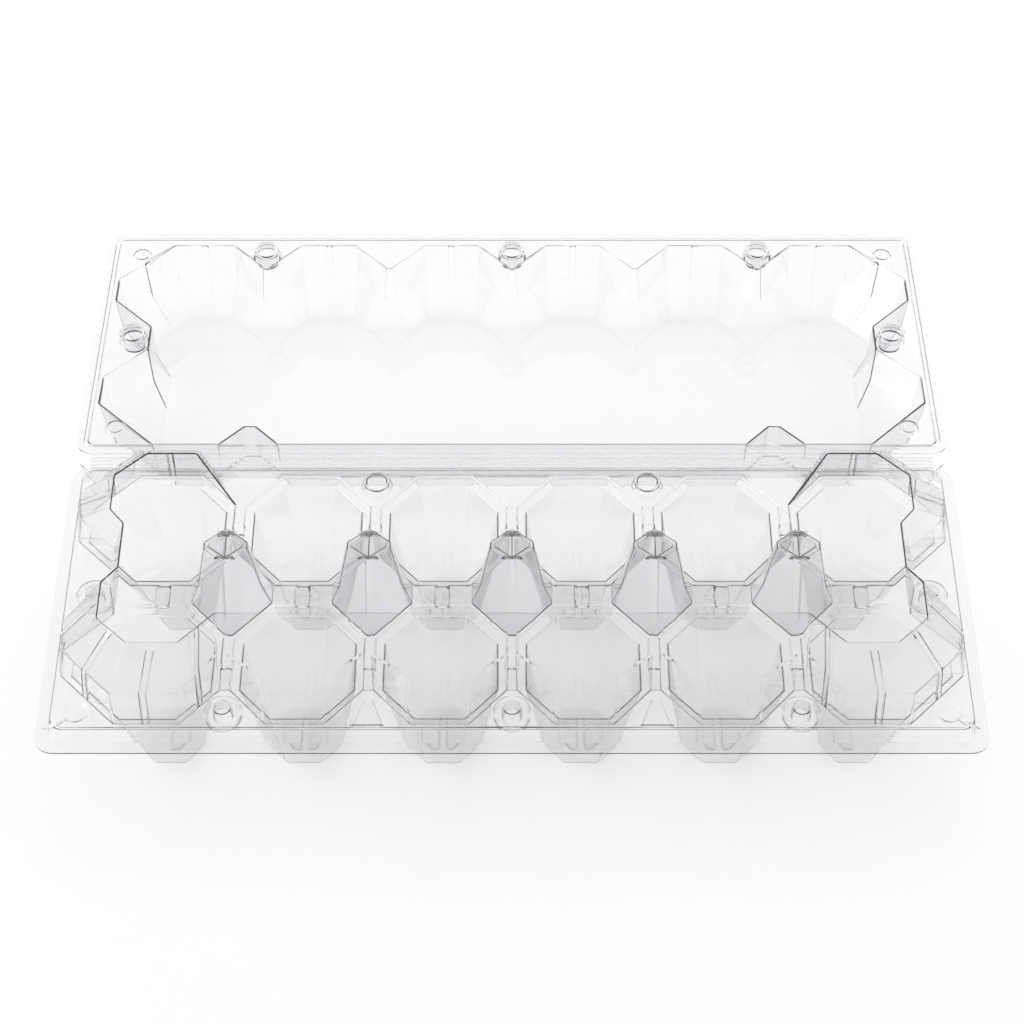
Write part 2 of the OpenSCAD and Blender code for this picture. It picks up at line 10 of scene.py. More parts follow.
import bmesh
import bpy
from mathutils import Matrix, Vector


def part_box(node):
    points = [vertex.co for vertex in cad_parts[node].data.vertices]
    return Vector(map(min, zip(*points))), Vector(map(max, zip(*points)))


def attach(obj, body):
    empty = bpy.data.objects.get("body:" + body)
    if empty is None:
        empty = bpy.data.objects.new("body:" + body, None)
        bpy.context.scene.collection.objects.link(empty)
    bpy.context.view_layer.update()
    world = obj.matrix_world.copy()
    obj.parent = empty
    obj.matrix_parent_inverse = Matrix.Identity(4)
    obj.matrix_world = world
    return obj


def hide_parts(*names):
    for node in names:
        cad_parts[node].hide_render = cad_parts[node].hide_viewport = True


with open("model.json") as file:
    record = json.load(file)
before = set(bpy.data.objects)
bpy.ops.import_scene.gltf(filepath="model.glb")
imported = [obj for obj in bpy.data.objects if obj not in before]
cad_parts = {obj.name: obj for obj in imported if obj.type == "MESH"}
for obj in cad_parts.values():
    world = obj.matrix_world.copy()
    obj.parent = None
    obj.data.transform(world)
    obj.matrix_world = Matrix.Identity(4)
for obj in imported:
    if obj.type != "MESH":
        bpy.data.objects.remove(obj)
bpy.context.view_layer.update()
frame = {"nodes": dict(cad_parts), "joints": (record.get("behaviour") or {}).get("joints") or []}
MM = 0.001

# %% [markdown]
# A camera looks down at the open keeper from in front of its base. A long lens, far
# off, keeps the long flanges nearly parallel, as in a catalogue picture. It is aimed
# at a point on the flange's own level, so that its height follows the frame.

# %% Camera
elevation = radians(51.5)
aim_behind_front = 98 * MM
front_depth = 788 * MM
lens_mm = 87.5
rim_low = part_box("base_rim")[0]
aim = Vector((0, rim_low[1] + aim_behind_front, rim_low[2]))
sight = Vector((0, cos(elevation), -sin(elevation)))
camera_data = bpy.data.cameras.new("camera")
camera_data.lens = lens_mm
camera = bpy.data.objects.new("camera", camera_data)
bpy.context.scene.collection.objects.link(camera)
camera.location = aim - sight * (front_depth + aim_behind_front * cos(elevation))
camera.rotation_euler = sight.to_track_quat("-Z", "Y").to_euler()
bpy.context.scene.camera = camera
print("camera stands at, in mm:", [round(v / MM) for v in camera.location])


# %% [markdown]
# Small helpers serve every material. One turns the hex colour that a paint chart
# would give into the linear colour that the shader wants. Another adds one node,
# sets its values and links its inputs, so that each material below reads as a list.

# %% Material helpers
def linear(hex_colour):
    """The linear RGBA of an sRGB hex colour such as 'f2f4f5'."""
    parts = [int(hex_colour[i : i + 2], 16) / 255 for i in (0, 2, 4)]
    return [p / 12.92 if p <= 0.04045 else ((p + 0.055) / 1.055) ** 2.4 for p in parts] + [1]


def add_node(material, kind, settings=(), **inputs):
    """Adds a node. An input takes a value, or another node's output socket."""
    node = material.node_tree.nodes.new(kind)
    for name, value in dict(settings).items():
        setattr(node, name, value)
    for name, value in inputs.items():
        socket = node.inputs[int(name[1:])] if name[1:].isdigit() else node.inputs[name.replace("_", " ")]
        if isinstance(value, bpy.types.NodeSocket):
            material.node_tree.links.new(value, socket)
        else:
            socket.default_value = value
    return node


def blank_material(name):
    material = bpy.data.materials.new(name)
    material.use_nodes = True
    material.node_tree.nodes.clear()
    return material


def either(material, first, second):
    """A socket that is 1 where one of two ray flags is."""
    return add_node(material, "ShaderNodeMath", {"operation": "MAXIMUM"}, i0=first, i1=second).outputs[0]


# %% [markdown]
# Clear PET sheet bends light a little more than acrylic does. Where it was drawn thin
# over the mould it keeps a faint flow, so its gloss wavers. Lamps are let through by a
# transparent stand-in, because half a millimetre of clear sheet takes little light.

# %% Vacuum-formed clear PET
flow_size = 18 * MM
waver_depth = 0.2 * MM


def formed_pet():
    pet = blank_material("vacuum_formed_clear_pet")
    place = add_node(pet, "ShaderNodeTexCoord").outputs["Object"]
    flow = add_node(pet, "ShaderNodeTexNoise", Vector=place, Scale=1 / flow_size, Detail=2.0)
    gloss = add_node(pet, "ShaderNodeMapRange", Value=flow.outputs["Fac"], To_Min=0.02, To_Max=0.07)
    waver = add_node(pet, "ShaderNodeBump", Height=flow.outputs["Fac"], Strength=0.15, Distance=waver_depth)
    body = add_node(
        pet,
        "ShaderNodeBsdfPrincipled",
        Base_Color=linear("f8f8f9"),
        Roughness=gloss.outputs[0],
        IOR=1.57,
        Transmission_Weight=1.0,
        Normal=waver.outputs[0],
    )
    open_way = add_node(pet, "ShaderNodeBsdfTransparent", Color=linear("fcfcfc"))
    ray = add_node(pet, "ShaderNodeLightPath")
    skin = add_node(
        pet,
        "ShaderNodeMixShader",
        i0=ray.outputs["Is Shadow Ray"],
        i1=body.outputs[0],
        i2=open_way.outputs[0],
    )
    add_node(pet, "ShaderNodeOutputMaterial", Surface=skin.outputs[0])
    return pet


clear_pet = formed_pet()
print("material:", clear_pet.name)

# %% [markdown]
# The keeper's sizes come from the frame, so that each skin lands on the measured part.
# Skins are drawn at the middle of the sheet, with no thickness, because that is how a
# formed sheet is thought of: one surface that folds. The thickness comes last.

# %% Sizes from the frame
def middle_of(node, axis):
    low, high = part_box(node)
    return (low[axis] + high[axis]) / 2


def width_of(node, axis):
    low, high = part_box(node)
    return high[axis] - low[axis]


sheet = width_of("hinge_band", 2)
length = width_of("base_rim", 0)
depth = width_of("base_rim", 1)
base_y = middle_of("base_rim", 1)
mid_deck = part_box("base_deck")[1][2] - sheet / 2
mid_flange = rim_low[2] + sheet / 2
pitch = middle_of("cup_front_3", 0) - middle_of("cup_front_2", 0)
row_y = (middle_of("cup_rear_2", 1) - middle_of("cup_front_2", 1)) / 2
cell_x = width_of("cup_front_2", 0)
cell_y = width_of("cup_front_2", 1)
centres = [(i - 2.5) * pitch for i in range(6)]
webs = [(i - 2) * pitch for i in range(5)]
end_reach = centres[0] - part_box("cup_front_1")[0][0]
web_w = pitch - cell_x
spine_w = 2 * row_y - cell_y
foot_h = 2 * MM
mid_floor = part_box("cup_front_2")[0][2] + foot_h + sheet / 2
print("cells are", round(cell_x / MM, 1), "by", round(cell_y / MM, 1), "mm, pitch", round(pitch / MM, 1))


# %% [markdown]
# Hand work in edit mode is always the same round: pick vertices, edges or faces by
# where they are, then extrude, inset, cut or move them. These helpers start a piece
# from a primitive, pick by place, and finish a skin with round folds and a thickness.

# %% Helpers for hand work
seam = 0.004 * MM
hair = 0.02 * MM
near = 0.1 * MM
flat_angle = radians(0.4)
smooth_angle = radians(38)


def start_piece(name, add, **settings):
    """Adds a primitive with its place in its mesh and opens it with all of it selected."""
    bpy.ops.object.select_all(action="DESELECT")
    add(**settings)
    bpy.ops.object.transform_apply(location=True, rotation=True, scale=True)
    piece = bpy.context.object
    piece.name = name
    bpy.ops.object.mode_set(mode="EDIT")
    bpy.ops.mesh.select_mode(type="VERT")
    bpy.ops.mesh.select_all(action="SELECT")
    return piece


def pick(kind, wanted):
    """Selects the vertices, edges or faces whose every corner is wanted."""
    bpy.ops.mesh.select_mode(type=kind)
    bpy.ops.mesh.select_all(action="DESELECT")
    mesh = bmesh.from_edit_mesh(bpy.context.object.data)
    items = {"VERT": mesh.verts, "EDGE": mesh.edges, "FACE": mesh.faces}[kind]
    for item in items:
        corners = [item.co] if kind == "VERT" else [v.co for v in item.verts]
        item.select_set(all(wanted(c) for c in corners))
    mesh.select_flush_mode()
    bmesh.update_edit_mesh(bpy.context.object.data)


def stretch(x, y, centre):
    """Resizes what is selected, along x and y, about a centre."""
    bpy.ops.transform.resize(value=(x, y, 1), center_override=centre)


def pull(x, y, z):
    """Extrudes what is selected."""
    bpy.ops.mesh.extrude_region_move(TRANSFORM_OT_translate={"value": (x, y, z)})


def score(axis, at):
    """Cuts the whole open piece across one axis."""
    bpy.ops.mesh.select_all(action="SELECT")
    normal = [float(k == axis) for k in range(3)]
    bpy.ops.mesh.bisect(plane_co=[n * at for n in normal], plane_no=normal)


def join(name, pieces):
    """Makes one piece of several and opens it."""
    bpy.ops.object.select_all(action="DESELECT")
    for piece in pieces:
        piece.select_set(True)
    bpy.context.view_layer.objects.active = pieces[0]
    bpy.ops.object.join()
    pieces[0].name = name
    bpy.ops.object.mode_set(mode="EDIT")
    bpy.ops.mesh.select_mode(type="EDGE")
    return pieces[0]


def close_edit():
    """Leaves edit mode."""
    bpy.ops.object.mode_set(mode="OBJECT")


def modify(piece, kind, **settings):
    """Adds a modifier and applies it at once."""
    bpy.context.view_layer.objects.active = piece
    modifier = piece.modifiers.new(kind.lower(), kind)
    for name, value in settings.items():
        setattr(modifier, name, value)
    bpy.ops.object.modifier_apply(modifier=modifier.name)


def select_only(piece):
    bpy.ops.object.select_all(action="DESELECT")
    piece.select_set(True)
    bpy.context.view_layer.objects.active = piece


def open_edit(piece):
    select_only(piece)
    bpy.ops.object.mode_set(mode="EDIT")
    bpy.ops.mesh.select_all(action="SELECT")


def merge_flats():
    """Closes the seams of the open piece and takes out the lines between flat neighbours."""
    bpy.ops.mesh.select_all(action="SELECT")
    bpy.ops.mesh.remove_doubles(threshold=seam)
    bpy.ops.mesh.dissolve_limited(angle_limit=flat_angle)


def round_folds(piece, fold=0.45 * MM, sharp=14, wanted=lambda c: True):
    """Turns the faces of an open skin one way and rounds its wanted folds."""
    open_edit(piece)
    bpy.ops.mesh.remove_doubles(threshold=seam)
    bpy.ops.mesh.normals_make_consistent(inside=False)
    bpy.ops.mesh.select_mode(type="EDGE")
    bpy.ops.mesh.select_all(action="DESELECT")
    mesh = bmesh.from_edit_mesh(piece.data)
    for edge in mesh.edges:
        folded = len(edge.link_faces) == 2 and edge.calc_face_angle() > radians(sharp)
        edge.select_set(folded and all(wanted(v.co) for v in edge.verts))
    bmesh.update_edit_mesh(piece.data)
    bpy.ops.mesh.bevel(offset=fold, segments=2, affect="EDGES", clamp_overlap=False, loop_slide=False)
    close_edit()


def thicken(piece, offset=0, even=True):
    """Gives the skin the sheet's thickness in clear PET. Its folds shade round and its flats flat."""
    modify(piece, "SOLIDIFY", thickness=sheet, offset=offset, use_even_offset=even)
    select_only(piece)
    bpy.ops.object.shade_smooth_by_angle(angle=smooth_angle)
    modify(piece, "WEIGHTED_NORMAL", keep_sharp=True, weight=100)
    piece.data.materials.clear()
    piece.data.materials.append(clear_pet)
    print(piece.name, "has", len(piece.data.polygons), "faces")


# %% [markdown]
# A cup starts as a flat plate at the deck. Its corners are cut to make the eight-sided
# mouth, an inset makes the ledge where the egg's shoulder sits, and one long extrusion
# with a taper makes the well. Two feet are pushed down out of the floor.

# %% Cups
cut_x = 11.9 * MM
cut_y = 13 * MM
end_cut = 18.5 * MM
lip_w = 3.2 * MM
lip_drop = 1.5 * MM
ledge_fall = 0.3 * MM
floor_w = 25 * MM
foot_w = 14.6 * MM
foot_gap = 2 * MM
foot_taper = (0.72, 0.6)


def cut_corners(wanted, centre, along, across):
    """Cuts picked corners of a plate. It is stretched first, so that one bevel fits both ways."""
    ratio = along / across
    bpy.ops.mesh.select_all(action="SELECT")
    stretch(1, ratio, centre)
    pick("VERT", wanted)
    bpy.ops.mesh.bevel(offset=along, affect="VERTICES", segments=1)
    bpy.ops.mesh.select_all(action="SELECT")
    stretch(1, 1 / ratio, centre)


def cup(name, x, y, left, right):
    """A cup about (x, y). left and right are its reaches, and a long one has the deep corner cuts."""
    wide = left + right - sheet
    deep = cell_y - sheet
    centre = (x + (right - left) / 2, y, mid_deck)
    piece = start_piece(name, bpy.ops.mesh.primitive_plane_add, size=1, location=centre)
    stretch(wide, deep, centre)
    for side, reach in ((-1, left), (1, right)):
        end = reach > cell_x / 2 + MM
        cuts = (end_cut, end_cut) if end else (cut_x, cut_y)
        cut_corners(lambda c: abs(c.x - centre[0] - side * wide / 2) < near, centre, *cuts)
    bpy.ops.mesh.select_all(action="SELECT")
    bpy.ops.mesh.inset(thickness=ledge_fall, depth=-lip_drop)
    bpy.ops.mesh.inset(thickness=lip_w - ledge_fall - sheet / 2, depth=-ledge_fall)
    inner = (wide - 2 * lip_w + sheet, deep - 2 * lip_w + sheet)
    pull(x - centre[0], 0, mid_floor - mid_deck + lip_drop + ledge_fall)
    stretch((floor_w - sheet) / inner[0], (floor_w - sheet) / inner[1], (x, y, mid_floor))
    bpy.ops.mesh.inset(thickness=(floor_w - sheet - foot_w) / 2, depth=0)
    for side in (-1, 1):
        score(0, x + side * foot_gap / 2)
    reach = foot_w / 2 + near / 2
    floor_top = mid_floor + near
    for side in (-1, 1):
        pick(
            "FACE",
            lambda c: side * (c.x - x) > foot_gap / 2 - hair
            and abs(c.x - x) < reach
            and abs(c.y - y) < reach
            and c.z < floor_top,
        )
        pull(0, 0, -foot_h)
        stretch(*foot_taper, (x + side * foot_w / 4, y, mid_floor))
    close_edit()
    return piece


cups = []
for row in (-1, 1):
    for i, x in enumerate(centres):
        left = end_reach if i == 0 else cell_x / 2
        right = end_reach if i == 5 else cell_x / 2
        cups.append(cup("cup", x, base_y + row * row_y, left, right))
print("cups:", len(cups))

# %% [markdown]
# The posts between four cups hold the eggs apart. Each is drawn up out of a gap in the
# deck, from a plate with its corners cut, in two lifts that taper, and its top is dished.

# %% Posts
post_ease = 0.25 * MM
post_h = width_of("post_1", 2) - sheet - post_ease
post_top = (14 * MM - sheet, 12.7 * MM - sheet)
post_side = pitch - cell_x + 2 * cut_x - sheet
post_deep = spine_w + 2 * cut_y - sheet
first_lift = 0.3
first_taper = 0.45
dish_rim = 1.2 * MM
dish_wall = 0.4 * MM
dish_fall = 1 * MM


def post(x):
    """A post between four cups, at a web."""
    centre = (x, base_y, mid_deck)
    piece = start_piece("post", bpy.ops.mesh.primitive_plane_add, size=1, location=centre)
    stretch(post_side, post_deep, centre)
    cut_corners(lambda c: True, centre, cut_x, cut_y)
    bpy.ops.mesh.select_all(action="SELECT")
    shrink = [top / full for top, full in zip(post_top, (post_side, post_deep))]
    waist = [1 + (s - 1) * first_taper for s in shrink]
    pull(0, 0, first_lift * post_h)
    stretch(waist[0], waist[1], centre)
    pull(0, 0, (1 - first_lift) * post_h)
    stretch(shrink[0] / waist[0], shrink[1] / waist[1], centre)
    bpy.ops.mesh.inset(thickness=dish_rim, depth=0)
    bpy.ops.mesh.inset(thickness=dish_wall, depth=-dish_fall)
    close_edit()
    return piece


posts = [post(x) for x in webs]
print("posts:", len(posts))

# %% [markdown]
# Snap studs, lugs and dimples are small round drawings in the deck. Each starts as a
# disc, and insets and lifts turn it into a ring, a wall or a button.

# %% Round drawings in the deck
round_sides = 28
snap_inset = (14.5 * MM, 12.5 * MM)
dimple_inset = 13 * MM
dimple_r = 4.2 * MM
snap_x = length / 2 - snap_inset[0]
snap_y = depth / 2 - snap_inset[1]
dimple_x = length / 2 - dimple_inset
well_r = -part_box("snap_studs")[0][0] - snap_x - sheet / 2
lug_r = well_r - 0.8 * MM


def disc(x, y, radius, lifts, level=(base_y, mid_deck)):
    """A disc shaped by (inset, lift) pairs from its edge inwards. level is its plate's centre and height."""
    piece = start_piece(
        "disc",
        bpy.ops.mesh.primitive_circle_add,
        vertices=round_sides,
        radius=radius,
        fill_type="NGON",
        location=(x, y + level[0], level[1]),
    )
    for narrower, lift in lifts:
        bpy.ops.mesh.inset(thickness=narrower * MM, depth=lift * MM)
    close_edit()
    return piece


# Each pair is one step inwards, in mm: how much narrower, then how much higher
stud_lifts = [(0.25, -2.75), (2.65, 0), (0.2, 5.1), (0.45, 0.25)]
lug_lifts = [(0.8, 2.6), (0.9, 0), (0.4, -1.2)]
dimple_lifts = [(0.9, -1.1), (1.4, 0.35)]
stud_places = [(webs[0], -snap_y), (0, -snap_y), (webs[4], -snap_y), (-snap_x, 0), (snap_x, 0)]
lug_places = [(webs[1], snap_y), (webs[3], snap_y)]
dimple_places = [(sx * dimple_x, sy * snap_y) for sx in (-1, 1) for sy in (-1, 1)]
rounds = [disc(x, y, well_r, stud_lifts) for x, y in stud_places]
rounds += [disc(x, y, lug_r, lug_lifts) for x, y in lug_places]
rounds += [disc(x, y, dimple_r, dimple_lifts) for x, y in dimple_places]
print("round drawings:", len(rounds))

# %% [markdown]
# Two pockets open in the deck between front cells. Each is a plate pinched at its back
# and pressed down by one inset, so that it widens towards the front edge.

# %% Pockets in the deck
pocket_back = 40.9 * MM
pocket_front = 51.2 * MM
pocket_wide = 10.3 * MM
pocket_pinch = 0.26
pocket_slope = 0.4 * MM
pocket_fall = 1.1 * MM


def pocket(x):
    """A pocket in the deck that widens from between two front cells towards the front edge."""
    back, front = base_y - pocket_back, base_y - pocket_front
    centre = (x, (back + front) / 2, mid_deck)
    piece = start_piece("pocket", bpy.ops.mesh.primitive_plane_add, size=1, location=centre)
    stretch(pocket_wide, back - front, centre)
    pick("VERT", lambda c: c.y > centre[1])
    stretch(pocket_pinch, 1, centre)
    bpy.ops.mesh.select_all(action="SELECT")
    bpy.ops.mesh.inset(thickness=pocket_slope, depth=-pocket_fall)
    close_edit()
    return piece


pockets = [pocket(x) for x in (webs[1], webs[3])]
print("pockets:", len(pockets))

# %% [markdown]
# The rim is a skin through round-cornered loops at the flange's level and above it: they
# make the flat flange and the step up to the deck, with a small bead at the top. Then all
# open edges at the deck's height are filled in one go: that is the deck itself.

# %% Rim, deck and the whole tray
flange_w = 4.2 * MM
step_slope = 1.2 * MM
corner_r = 6 * MM
corner_steps = 6
rim_fold = 0.15 * MM
edge_ease = 0.15 * MM


def strip(name, rows):
    """A skin through rows of points, from a grid as wide and as high as the rows."""
    across = len(rows[0])
    piece = start_piece(
        name, bpy.ops.mesh.primitive_grid_add, size=1, x_subdivisions=across - 1, y_subdivisions=len(rows) - 1
    )
    mesh = bmesh.from_edit_mesh(piece.data)
    mesh.verts.ensure_lookup_table()
    for k, row in enumerate(rows):
        for i, point in enumerate(row):
            mesh.verts[k * across + i].co = point
    bmesh.update_edit_mesh(piece.data)
    close_edit()
    return piece


def rounded_row(centre, wide, deep, radius, rise):
    """Points round a rectangle with round corners, counter-clockwise and back to the first."""
    points = []
    for turn, sx, sy in ((0, 1, 1), (90, -1, 1), (180, -1, -1), (270, 1, -1)):
        for step in range(corner_steps + 1):
            angle = radians(turn + 90 * step / corner_steps)
            x = sx * (wide / 2 - radius) + radius * cos(angle)
            y = sy * (deep / 2 - radius) + radius * sin(angle)
            points.append(Vector((centre[0] + x, centre[1] + y, centre[2] + rise)))
    return points + points[:1]


def rounded_rim(name, centre, rows):
    """A skin through round-cornered loops, each given as its inset, its corner radius and its rise."""
    loops = [rounded_row(centre, length - 2 * d, depth - 2 * d, r, rise) for d, r, rise in rows]
    return strip(name, loops)


def fill_between(piece, low, high, within=length / 2):
    """Fills between all open edges of the piece that lie from low to high, and within a reach along x."""
    bpy.ops.mesh.select_mode(type="EDGE")
    bpy.ops.mesh.select_all(action="DESELECT")
    mesh = bmesh.from_edit_mesh(piece.data)
    for edge in mesh.edges:
        inside = all(low < v.co.z < high and abs(v.co.x) < within for v in edge.verts)
        edge.select_set(inside and len(edge.link_faces) < 2)
    bmesh.update_edit_mesh(piece.data)
    bpy.ops.mesh.fill(use_beauty=True)


step_up = mid_deck - mid_flange
edge_bead = 0.2 * MM
# Each row is a loop: its inset, its corner radius and its rise
rim_rows = [
    (edge_ease, corner_r, 0),
    (flange_w, 5 * MM, 0),
    (flange_w + step_slope, 4.3 * MM, step_up + edge_bead),
    (flange_w + step_slope + 0.7 * MM, 3.8 * MM, step_up + edge_bead),
    (flange_w + step_slope + 1.1 * MM, 3.5 * MM, step_up),
]
rim = rounded_rim("rim", (0, base_y, mid_flange), rim_rows)
round_folds(rim, rim_fold)
tray = join("base_tray", [rim, *cups, *posts, *rounds, *pockets])
merge_flats()
fill_between(tray, mid_deck - hair, mid_deck + hair)
close_edit()
rim_width = 6.8 * MM
ring = 0.2 * MM
tray_x = length / 2 - rim_width
tray_y = depth / 2 - rim_width


def in_no_disc(x, y, places):
    """Small round drawings keep their own steps, so their folds are left as they are."""
    return all((x - px) ** 2 + (y - py) ** 2 > (well_r + ring) ** 2 for px, py in places)


def tray_folds(c):
    """The folds of the tray that are rounded: all within the rim but those of the discs."""
    y = c.y - base_y
    return abs(c.x) < tray_x and abs(y) < tray_y and in_no_disc(c.x, y, stud_places + lug_places)


round_folds(tray, wanted=tray_folds)

# %% [markdown]
# Between two cups the sheet dips in a small saddle. The saddles are pressed in after the
# folds are round: the skin is scored on both sides of each, and the strip is pushed down.

# %% Saddles between the cups
saddle_flat = 1.3 * MM
saddle_wide = 2.4 * MM
saddle_fall = 0.9 * MM
fold_room = 0.35 * MM
bpy.ops.object.mode_set(mode="EDIT")
for at in (-saddle_wide, -saddle_flat, saddle_flat, saddle_wide):
    for row in (-1, 1):
        score(1, base_y + row * row_y + at)
    for x in centres:
        score(0, x + at)
across_web = (web_w / 2 + fold_room, saddle_flat)
saddles = [(web, base_y + row * row_y, *across_web) for row in (-1, 1) for web in webs]
saddles += [(x, base_y, saddle_flat, spine_w / 2 + fold_room) for x in centres]
low = mid_deck - 2 * fold_room
for x, y, reach_x, reach_y in saddles:
    pick(
        "VERT",
        lambda c: abs(c.x - x) < reach_x + hair / 2 and abs(c.y - y) < reach_y + hair / 2 and c.z > low,
    )
    bpy.ops.transform.translate(value=(0, 0, -saddle_fall))
close_edit()
thicken(tray)
tray_parts = ("cup_", "post_", "base_", "web_", "spine_", "rear_lugs")
tray_nodes = [n for n in frame["nodes"] if n.startswith(tray_parts)]
tray_nodes.append("snap_studs")
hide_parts(*tray_nodes)
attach(tray, "base")

# %% [markdown]
# A wall that folds as it runs is drawn as a grid, one row of points for each height. A
# station is a place where the wall folds: it has a foot, a lean and a height. The wall
# stands upright to its knee and leans in above it. Ribs stand out of its wider facets.

# %% Helpers for folded walls
rib_w = 2.6 * MM
rib_d = 0.35 * MM


def with_ribs(row, ribbed, raised):
    """Adds to a row of points, on each ribbed stretch, the four points of a rib."""
    points = []
    for i, p in enumerate(row):
        points.append(p)
        if i in ribbed:
            q = row[(i + 1) % len(row)]
            middle = (p + q) / 2
            along = Vector((q.x - p.x, q.y - p.y, 0)).normalized() * rib_w / 2
            out = Vector((along.y, -along.x, 0)).normalized() * raised
            points += [middle - along, middle - along / 2 + out, middle + along / 2 + out, middle + along]
    return points


# %% [markdown]
# The crown is one folded wall round the ends and the front of the cups. The cell's
# outline gives its feet. Its corner guards are mirrored, and the front guard zigzags.

# %% Crown of guards
guard_ease = 0.4 * MM
guard_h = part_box("front_guard")[1][2] - mid_deck - guard_ease
low_end_h = 1.4 * MM
lean_row = 12.5 * MM
lean_end = 14.5 * MM
lean_front = 23.8 * MM
lean_tip = -1 * MM
lean_flank = 1.1 * MM
lean_corner = 6 * MM
end_turns = (3.3 * MM, 7.5 * MM)
lean_waist = (4.8 * MM, 1.2 * MM)
knee = 0.55
rib_foot = 0.07
rib_head = 0.93
crown_fold = 0.5 * MM
knee_lean = 0.12
front_knee_lean = 0.33
half_x = cell_x / 2
half_y = cell_y / 2
side_x = half_x - cut_x
side_y = half_y - cut_y
end_side_y = half_y - end_cut
end_side_x = end_reach - end_cut
end_x = centres[-1]
waist_reach = 15.5 * MM
waist_y = row_y - end_side_y - (end_reach - waist_reach)
front_lean = lean_front - cut_y


def left_end(side):
    """Stations of a left corner guard, from between two cells round to the waist. side is 1 at the rear."""
    front = side < 0
    end = -end_x - end_reach
    return [
        (
            (half_x - end_x, side * (row_y + side_y)),
            (0, front_lean if front else lean_tip),
            guard_h if front else low_end_h,
            front_knee_lean,
        ),
        ((side_x - end_x, side * (row_y + half_y)), (lean_flank, -side * lean_row), guard_h, knee_lean),
        ((-end_x - end_side_x, side * (row_y + half_y)), (lean_corner, -side * lean_row), guard_h, knee_lean),
        ((end, side * (row_y + end_side_y)), (lean_end, -side * end_turns[0]), guard_h, knee_lean),
        ((end, side * (row_y - end_side_y)), (lean_end, -side * end_turns[1]), guard_h, knee_lean),
        ((-end_x - waist_reach, side * waist_y), (lean_waist[0], side * lean_waist[1]), guard_h, knee_lean),
    ]


def front_stations():
    """Stations of the front guard, which zigzags from tip to tip between the cells."""
    low, tip = -(row_y + half_y), -(row_y + side_y)
    places = [(webs[0] + web_w / 2, tip, front_lean)]
    for x in centres[1:-1]:
        places += [(x - half_x, tip, front_lean)] if x > centres[1] else []
        places += [(x - side_x, low, lean_front), (x + side_x, low, lean_front)]
        places += [(x + half_x, tip, front_lean)]
    return [((x, y), (0, lean), guard_h, front_knee_lean) for x, y, lean in places]


def mirrored(stations):
    """The same stations on the other side."""
    return [((-foot[0], foot[1]), (-lean[0], lean[1]), high, share) for foot, lean, high, share in stations]


left_side = left_end(1) + left_end(-1)[::-1]
stations = left_side + front_stations() + mirrored(left_side)[::-1]
rib_stretches = [1, 2, 3, 7, 8, 9, 10]
rib_stretches += [len(stations) - 2 - i for i in rib_stretches]


def leaned(level, share):
    """The share of its lean that a station has reached at a level."""
    return share * level / knee if level < knee else share + (1 - share) * (level - knee) / (1 - knee)


def crown_row(level):
    """The points of the crown at a level from 0 at its foot to 1 at its top."""
    row = []
    for foot, lean, high, share in stations:
        t = leaned(level, share)
        row.append(Vector((foot[0] + lean[0] * t, base_y + foot[1] + lean[1] * t, mid_deck + high * level)))
    return with_ribs(row, rib_stretches, rib_d if 0 < level < 1 else 0)


def crown_folds(c):
    """The folds of the crown that are rounded: all but those by the rear cells' inner ends."""
    return c.y < base_y or abs(c.x) > end_x - half_x + MM


crown = strip("guard_crown", [crown_row(level) for level in (0, rib_foot, knee, rib_head, 1)])
open_edit(crown)
merge_flats()
close_edit()
round_folds(crown, crown_fold, wanted=crown_folds)
thicken(crown, even=False)
crown_nodes = [n for n in frame["nodes"] if n.startswith(("corner_guard", "side_guard", "front_guard"))]
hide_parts(*crown_nodes)
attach(crown, "base")

# %% [markdown]
# The folding band is a plate with three scored lines, each pressed up into a small
# ridge. It rides on a body of its own, because it turns while the lid swings.

# %% Folding band
band_low, band_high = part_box("hinge_band")
band_y = (band_low[1] + band_high[1]) / 2
band_deep = band_high[1] - band_low[1]
mid_band = (band_low[2] + band_high[2]) / 2
score_w = 0.7 * MM
score_rise = 0.15 * MM
band_skin = 0.35 * MM
score_lines = [band_y + k * band_deep / 4 for k in (-1, 0, 1)]
band_centre = (0, band_y, mid_band)
band = start_piece("folding_band", bpy.ops.mesh.primitive_plane_add, size=1, location=band_centre)
stretch(band_high[0] - band_low[0], band_deep, band_centre)
for line in score_lines:
    for at in (line - score_w / 2, line, line + score_w / 2):
        score(1, at)
for line in score_lines:
    pick("VERT", lambda c: abs(c.y - line) < near)
    bpy.ops.transform.translate(value=(0, 0, score_rise))
close_edit()
modify(band, "SOLIDIFY", thickness=band_skin, offset=-1)
band.data.materials.append(clear_pet)
print(band.name, "has", len(band.data.polygons), "faces")
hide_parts("hinge_band")
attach(band, "band")

# %% [markdown]
# The lid is drawn flat about its own centre, with its rim at z = 0, as if it lay open on
# a bench. Its cavity follows the outline of the cells, with two pillars in the hinge
# side. At the end it is turned and set down where the frame has it.

# %% Outline of the lid's cavity
lid_clear = 1.2 * MM
lid_lean = 8.3 * MM
swing_ease = 2 * MM
hinge_inset = 6 * MM
hinge_line = depth / 2 - hinge_inset
pillar_depth = 9 * MM
pillar_w = 22 * MM
nose_w = 5 * MM
lid_depth = 28.2 * MM
lid_drop = lid_depth - sheet
# How far walls lean in down to the panel, along x and along y
end_lean = 4 * MM
next_lean = 2.1 * MM
inner_lean = 1.1 * MM
tip_lean = (6.5 * MM, 2.3 * MM)
corner_lean = (11 * MM, 1.8 * MM)
flank_lean = (8 * MM, 2.3 * MM)
waist_lean = (3 * MM, 1.7 * MM)
hinge_lean = (5.8 * MM, 6 * MM)
foot_lean = (1.5 * MM, 6 * MM)
nose_lean = (3.5 * MM, 5 * MM)


